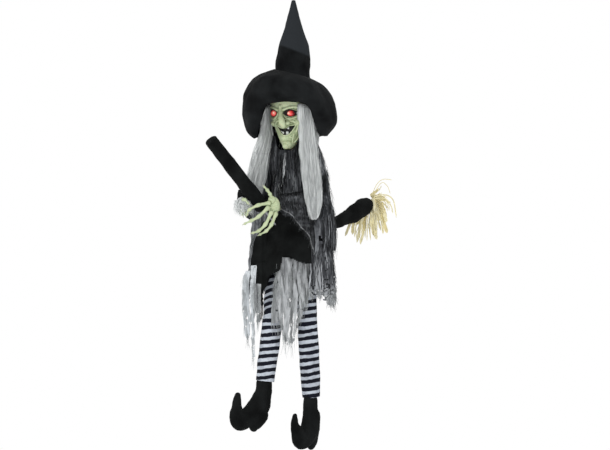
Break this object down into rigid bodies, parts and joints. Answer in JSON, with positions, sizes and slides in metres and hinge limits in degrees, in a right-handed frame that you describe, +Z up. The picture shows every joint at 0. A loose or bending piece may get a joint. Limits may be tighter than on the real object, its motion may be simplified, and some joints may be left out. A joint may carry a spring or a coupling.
{
  "type": "animated witch figure",
  "caption": "Hanging witch figure riding a broom, with a turning head, lit eyes and kicking striped legs driven by small gear trains.",
  "frame": {"origin": "inner top of the hanging eye above the hat, where a hook bears", "axes": "+Z up, the figure faces -Y, +X to her left"},
  "size_m": [0.3924, 0.7429, 1.525],
  "materials": {
    "steel": "plain steel wire and bar, satin",
    "brass": "machined brass",
    "black_plastic": "black moulded plastic",
    "white_plastic": "natural acetal gears",
    "foam": "grey foam block",
    "board": "green circuit board",
    "cell": "plain battery jacket",
    "black_felt": "matt black felt with short fuzz",
    "gauze": "black gauze brushed with grey, torn into holes and threads",
    "rag": "light grey creped gauze, frayed",
    "stocking": "knitted, navy-black and bluish-white stripes",
    "green_vinyl": "soft vinyl, sage green with paler and darker washes",
    "lens": "red translucent lens, lit",
    "mouth": "black mouth lining with pale teeth",
    "hair": "long grey-white synthetic hair",
    "raffia": "dry straw-coloured raffia strips"
  },
  "bodies": {
    "root": {"hanging_eye": "steel", "spine_rod": "steel", "shoulder_yoke": "black_plastic", "arm_wire": "steel", "head_thrust_collar": "brass", "head_motor": "steel", "torso_foam": "foam", "speaker": "black_plastic", "circuit_board": "board", "battery_box": "black_plastic", "battery_1": "cell", "battery_2": "cell", "battery_3": "cell", "drive_box_front": "black_plastic", "drive_box_rear": "black_plastic", "kick_motor": "steel", "broom_rod_front": "steel", "broom_rod_rear": "steel", "broom_sleeve_front": "black_felt", "broom_sleeve_rear": "black_felt", "broom_bristles": "raffia", "hand_left": "green_vinyl", "hand_right": "green_vinyl", "sleeve_left": "gauze", "sleeve_right": "gauze", "bodice_gauze": "gauze", "skirt_gauze_left": "gauze", "skirt_gauze_right": "gauze", "apron_felt": "black_felt", "front_rags": "rag"},
    "head": {"face_mask": "green_vinyl", "head_back": "green_vinyl", "eye_lens_left": "lens", "eye_lens_right": "lens", "mouth_insert": "mouth", "eye_led_board": "board", "head_gear": "white_plastic", "hat_cone": "black_felt", "hat_brim": "black_felt", "hair_left": "hair", "hair_right": "hair", "hair_back": "hair"},
    "head_pinion": {"head_pinion": "brass"},
    "battery_door": {"battery_door": "black_plastic"},
    "power_switch": {"power_switch": "white_plastic"},
    "drive_gear": {"drive_gear": "white_plastic"},
    "idler_gear": {"idler_gear": "white_plastic"},
    "kick_pinion": {"kick_pinion": "brass"},
    "left_thigh": {"hip_gear_left": "white_plastic", "thigh_link_left": "steel", "stocking_thigh_left": "stocking"},
    "right_thigh": {"hip_gear_right": "white_plastic", "thigh_link_right": "steel", "stocking_thigh_right": "stocking"},
    "left_shin": {"shin_link_left": "steel", "stocking_shin_left": "stocking", "shoe_left": "black_felt"},
    "right_shin": {"shin_link_right": "steel", "stocking_shin_right": "stocking", "shoe_right": "black_felt"}
  },
  "joints": [
    {"name": "head_turn", "type": "hinge", "parent": "root", "child": "head", "pos_m": [0, 0, -0.536], "axis": [0, 0, 1], "range_deg": [-35, 35], "deforming": ["hair_left", "hair_right", "hair_back"]},
    {"name": "head_pinion_spin", "type": "hinge", "parent": "root", "child": "head_pinion", "pos_m": [0, 0.03, -0.536], "axis": [0, 0, 1], "range_deg": [-141, 141]},
    {"name": "left_kick", "type": "hinge", "parent": "root", "child": "left_thigh", "pos_m": [-0.01, 0, -0.887], "axis": [1, 0, 0], "range_deg": [-30, 10], "deforming": ["skirt_gauze_left", "skirt_gauze_right", "apron_felt", "front_rags"]},
    {"name": "right_kick", "type": "hinge", "parent": "root", "child": "right_thigh", "pos_m": [-0.01, 0, -0.887], "axis": [1, 0, 0], "range_deg": [-10.1, 30.1]},
    {"name": "drive_gear_spin", "type": "hinge", "parent": "root", "child": "drive_gear", "pos_m": [-0.01, -0.009, -0.86154], "axis": [1, 0, 0], "range_deg": [-20.5, 60.5]},
    {"name": "idler_gear_spin", "type": "hinge", "parent": "root", "child": "idler_gear", "pos_m": [-0.01, 0.009, -0.86154], "axis": [1, 0, 0], "range_deg": [-60.5, 20.5]},
    {"name": "kick_pinion_spin", "type": "hinge", "parent": "root", "child": "kick_pinion", "pos_m": [-0.01, -0.009, -0.84314], "axis": [1, 0, 0], "range_deg": [-217, 73]},
    {"name": "left_knee", "type": "hinge", "parent": "left_thigh", "child": "left_shin", "pos_m": [0.048, 0.006, -1.087], "axis": [1, 0, 0], "range_deg": [0, 60]},
    {"name": "right_knee", "type": "hinge", "parent": "right_thigh", "child": "right_shin", "pos_m": [-0.0435, -0.068, -1.075], "axis": [1, 0, 0], "range_deg": [0, 60]},
    {"name": "battery_door_slide", "type": "slide", "parent": "root", "child": "battery_door", "axis": [0, 0, -1], "range_m": [0, 0.05]},
    {"name": "power_switch_slide", "type": "slide", "parent": "root", "child": "power_switch", "axis": [0, 0, 1], "range_m": [0, 0.004]}
  ],
  "couplings": [
    {"joint": "head_pinion_spin", "follows": "head_turn", "ratio": -4},
    {"joint": "right_kick", "follows": "left_kick", "ratio": -1},
    {"joint": "drive_gear_spin", "follows": "left_kick", "ratio": -2},
    {"joint": "idler_gear_spin", "follows": "left_kick", "ratio": 2},
    {"joint": "kick_pinion_spin", "follows": "left_kick", "ratio": 7.2}
  ]
}
